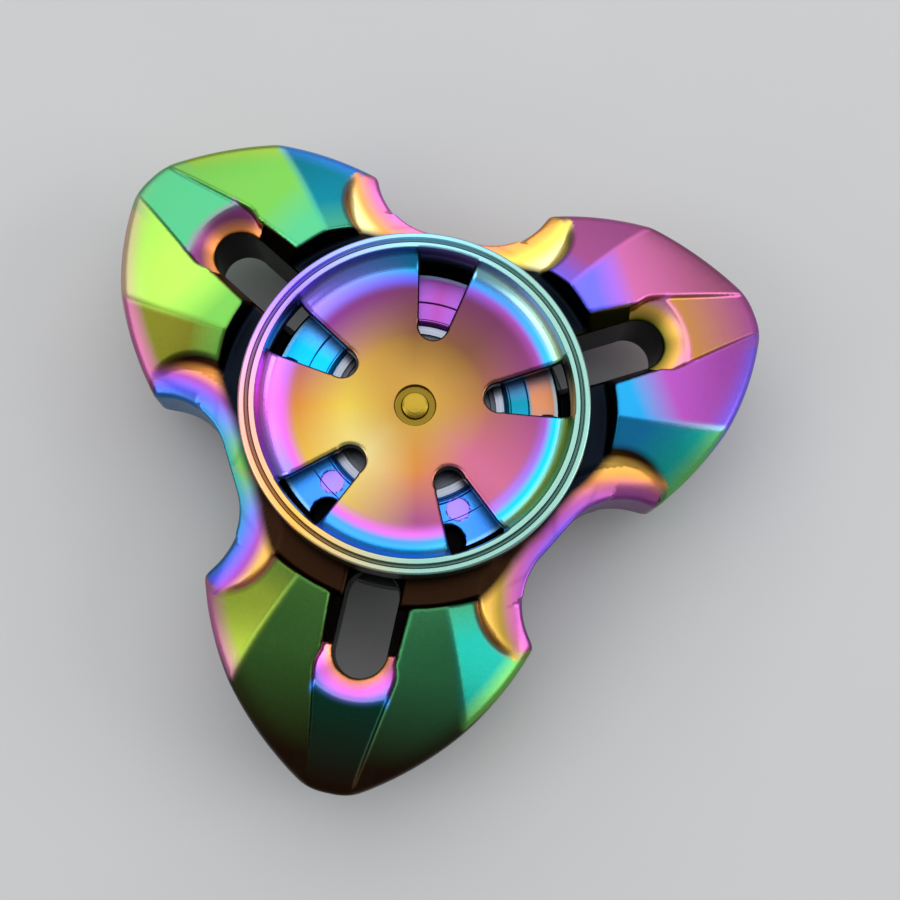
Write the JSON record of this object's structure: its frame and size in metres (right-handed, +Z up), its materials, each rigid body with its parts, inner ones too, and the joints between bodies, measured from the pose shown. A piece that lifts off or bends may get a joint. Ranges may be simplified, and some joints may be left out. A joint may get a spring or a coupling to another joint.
{
  "type": "fidget spinner",
  "caption": "Three-bladed metal fidget spinner with creased, slotted blades, dished and slotted finger caps, and a shielded ball bearing in the hub.",
  "frame": {"origin": "middle of the lower cap's resting rim, on the spin axis", "axes": "+Z up along the spin axis, out of the upper cap; one blade points along -Y"},
  "size_m": [0.0458, 0.0427, 0.0124],
  "materials": {
    "cast_body": "satin rainbow coating on cast zinc",
    "finger_caps": "satin rainbow coating on cast zinc",
    "axle": "satin rainbow coating on turned metal",
    "races": "ground bearing steel",
    "bearing_balls": "polished",
    "cage": "pressed strip, matt",
    "shields": "thin pressed washer and spring ring"
  },
  "bodies": {
    "finger_grip": {"upper_cap": "finger_caps", "lower_cap": "finger_caps", "upper_post": "axle", "lower_post": "axle", "bearing_inner_race": "races"},
    "spinner": {"spinner_body": "cast_body", "bearing_outer_race": "races", "upper_shield": "shields", "lower_shield": "shields", "upper_snap_ring": "shields", "lower_snap_ring": "shields"},
    "cage": {"ball_cage": "cage"},
    "ball_01_body": {"ball_01": "bearing_balls"},
    "ball_02_body": {"ball_02": "bearing_balls"},
    "ball_03_body": {"ball_03": "bearing_balls"},
    "ball_04_body": {"ball_04": "bearing_balls"},
    "ball_05_body": {"ball_05": "bearing_balls"},
    "ball_06_body": {"ball_06": "bearing_balls"},
    "ball_07_body": {"ball_07": "bearing_balls"},
    "ball_08_body": {"ball_08": "bearing_balls"},
    "ball_09_body": {"ball_09": "bearing_balls"},
    "ball_10_body": {"ball_10": "bearing_balls"}
  },
  "joints": [
    {"name": "spin", "type": "hinge", "parent": "finger_grip", "child": "spinner", "pos_m": [0, 0, 0.0062], "axis": [0, 0, 1], "continuous": true},
    {"name": "cage_turn", "type": "hinge", "parent": "finger_grip", "child": "cage", "pos_m": [0, 0, 0.0062], "axis": [0, 0, 1], "continuous": true},
    {"name": "ball_01_roll", "type": "hinge", "parent": "cage", "child": "ball_01_body", "pos_m": [0.00476, 0, 0.0062], "axis": [0, 0, 1], "continuous": true},
    {"name": "ball_02_roll", "type": "hinge", "parent": "cage", "child": "ball_02_body", "pos_m": [0.00385, 0.0028, 0.0062], "axis": [0, 0, 1], "continuous": true},
    {"name": "ball_03_roll", "type": "hinge", "parent": "cage", "child": "ball_03_body", "pos_m": [0.00147, 0.00453, 0.0062], "axis": [0, 0, 1], "continuous": true},
    {"name": "ball_04_roll", "type": "hinge", "parent": "cage", "child": "ball_04_body", "pos_m": [-0.00147, 0.00453, 0.0062], "axis": [0, 0, 1], "continuous": true},
    {"name": "ball_05_roll", "type": "hinge", "parent": "cage", "child": "ball_05_body", "pos_m": [-0.00385, 0.0028, 0.0062], "axis": [0, 0, 1], "continuous": true},
    {"name": "ball_06_roll", "type": "hinge", "parent": "cage", "child": "ball_06_body", "pos_m": [-0.00476, 0, 0.0062], "axis": [0, 0, 1], "continuous": true},
    {"name": "ball_07_roll", "type": "hinge", "parent": "cage", "child": "ball_07_body", "pos_m": [-0.00385, -0.0028, 0.0062], "axis": [0, 0, 1], "continuous": true},
    {"name": "ball_08_roll", "type": "hinge", "parent": "cage", "child": "ball_08_body", "pos_m": [-0.00147, -0.00453, 0.0062], "axis": [0, 0, 1], "continuous": true},
    {"name": "ball_09_roll", "type": "hinge", "parent": "cage", "child": "ball_09_body", "pos_m": [0.00147, -0.00453, 0.0062], "axis": [0, 0, 1], "continuous": true},
    {"name": "ball_10_roll", "type": "hinge", "parent": "cage", "child": "ball_10_body", "pos_m": [0.00385, -0.0028, 0.0062], "axis": [0, 0, 1], "continuous": true}
  ],
  "couplings": [
    {"joint": "cage_turn", "follows": "spin", "ratio": 0.58335},
    {"joint": "ball_01_roll", "follows": "spin", "ratio": 2.916},
    {"joint": "ball_02_roll", "follows": "spin", "ratio": 2.916},
    {"joint": "ball_03_roll", "follows": "spin", "ratio": 2.916},
    {"joint": "ball_04_roll", "follows": "spin", "ratio": 2.916},
    {"joint": "ball_05_roll", "follows": "spin", "ratio": 2.916},
    {"joint": "ball_06_roll", "follows": "spin", "ratio": 2.916},
    {"joint": "ball_07_roll", "follows": "spin", "ratio": 2.916},
    {"joint": "ball_08_roll", "follows": "spin", "ratio": 2.916},
    {"joint": "ball_09_roll", "follows": "spin", "ratio": 2.916},
    {"joint": "ball_10_roll", "follows": "spin", "ratio": 2.916}
  ]
}
